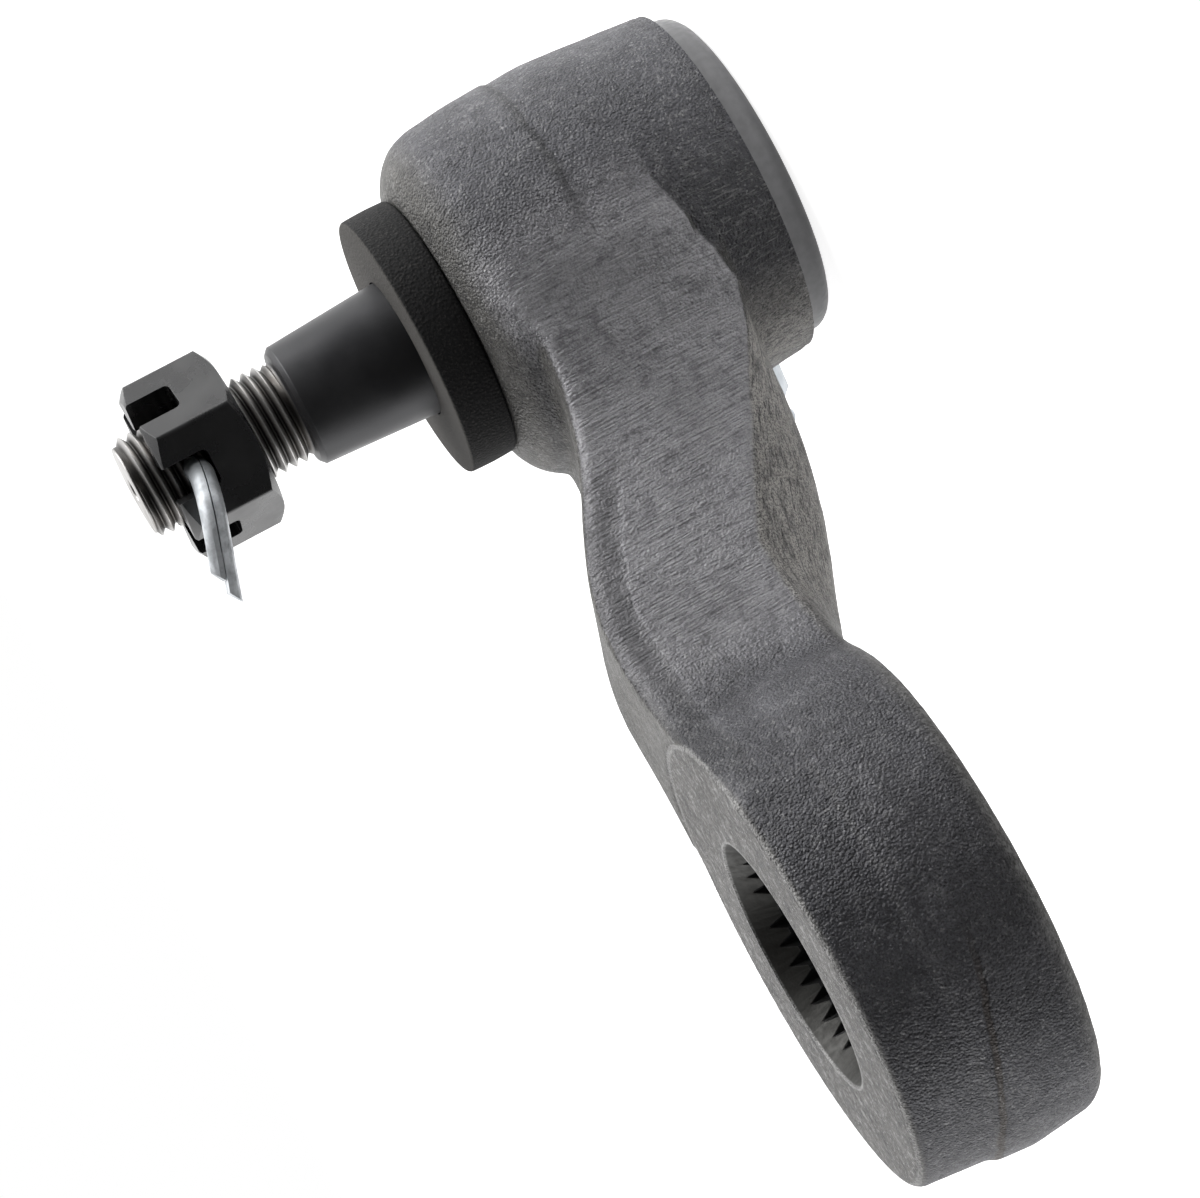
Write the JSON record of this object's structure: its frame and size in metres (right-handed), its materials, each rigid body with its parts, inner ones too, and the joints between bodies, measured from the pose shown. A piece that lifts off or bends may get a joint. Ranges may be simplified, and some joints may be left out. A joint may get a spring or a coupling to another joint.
{
  "type": "pitman arm",
  "caption": "Forged steering arm with a serrated clamp-on boss at one end and a sealed ball joint with tapered stud, slotted nut and grease nipple at the other.",
  "frame": {"origin": "on the spline's axis at the middle of the spline's length", "axes": "+Z along the spline's axis, the way the ball stud points; +X from the spline to the ball joint; +Y completes a right-handed frame"},
  "size_m": [0.1588, 0.066, 0.0912],
  "materials": {
    "forging": "blasted and oiled, fine grain",
    "stud_steel": "phosphated taper, bare thread",
    "bearing_steel": "ground",
    "pad_plastic": "moulded",
    "cover_steel": "satin",
    "seal_rubber": "foam, matte",
    "nut_black": "black oxide, satin",
    "cotter_zinc": "bright zinc",
    "fitting_zinc": "pale blue zinc"
  },
  "bodies": {
    "arm": {"pitman_arm": "forging", "end_cover": "cover_steel", "preload_spring": "bearing_steel", "grease_fitting": "fitting_zinc", "grease_check_spring": "bearing_steel"},
    "pad": {"pressure_pad": "pad_plastic", "dust_seal": "seal_rubber"},
    "tilting_ball": {"half_ball": "bearing_steel"},
    "stud": {"ball_stud": "stud_steel", "castle_nut": "nut_black", "cotter_pin": "cotter_zinc"},
    "check_ball": {"grease_check_ball": "bearing_steel"}
  },
  "joints": [
    {"name": "tilt_direction", "type": "hinge", "parent": "arm", "child": "pad", "pos_m": [0.1, 0, -0.01275], "axis": [0, 0, 1], "continuous": true},
    {"name": "stud_tilt", "type": "hinge", "parent": "pad", "child": "tilting_ball", "pos_m": [0.1, 0, -0.01275], "axis": [0, 1, 0], "range_deg": [-16, 16], "deforming": ["dust_seal"]},
    {"name": "stud_spin", "type": "hinge", "parent": "tilting_ball", "child": "stud", "pos_m": [0.1, 0, -0.01275], "axis": [0, 0, 1], "continuous": true},
    {"name": "check_ball_travel", "type": "slide", "parent": "arm", "child": "check_ball", "axis": [0.6691, -0.7431, 0], "range_m": [0, 0.0008], "stiffness_N_per_m": 150, "springref_m": -0.001, "deforming": ["grease_check_spring"]}
  ]
}
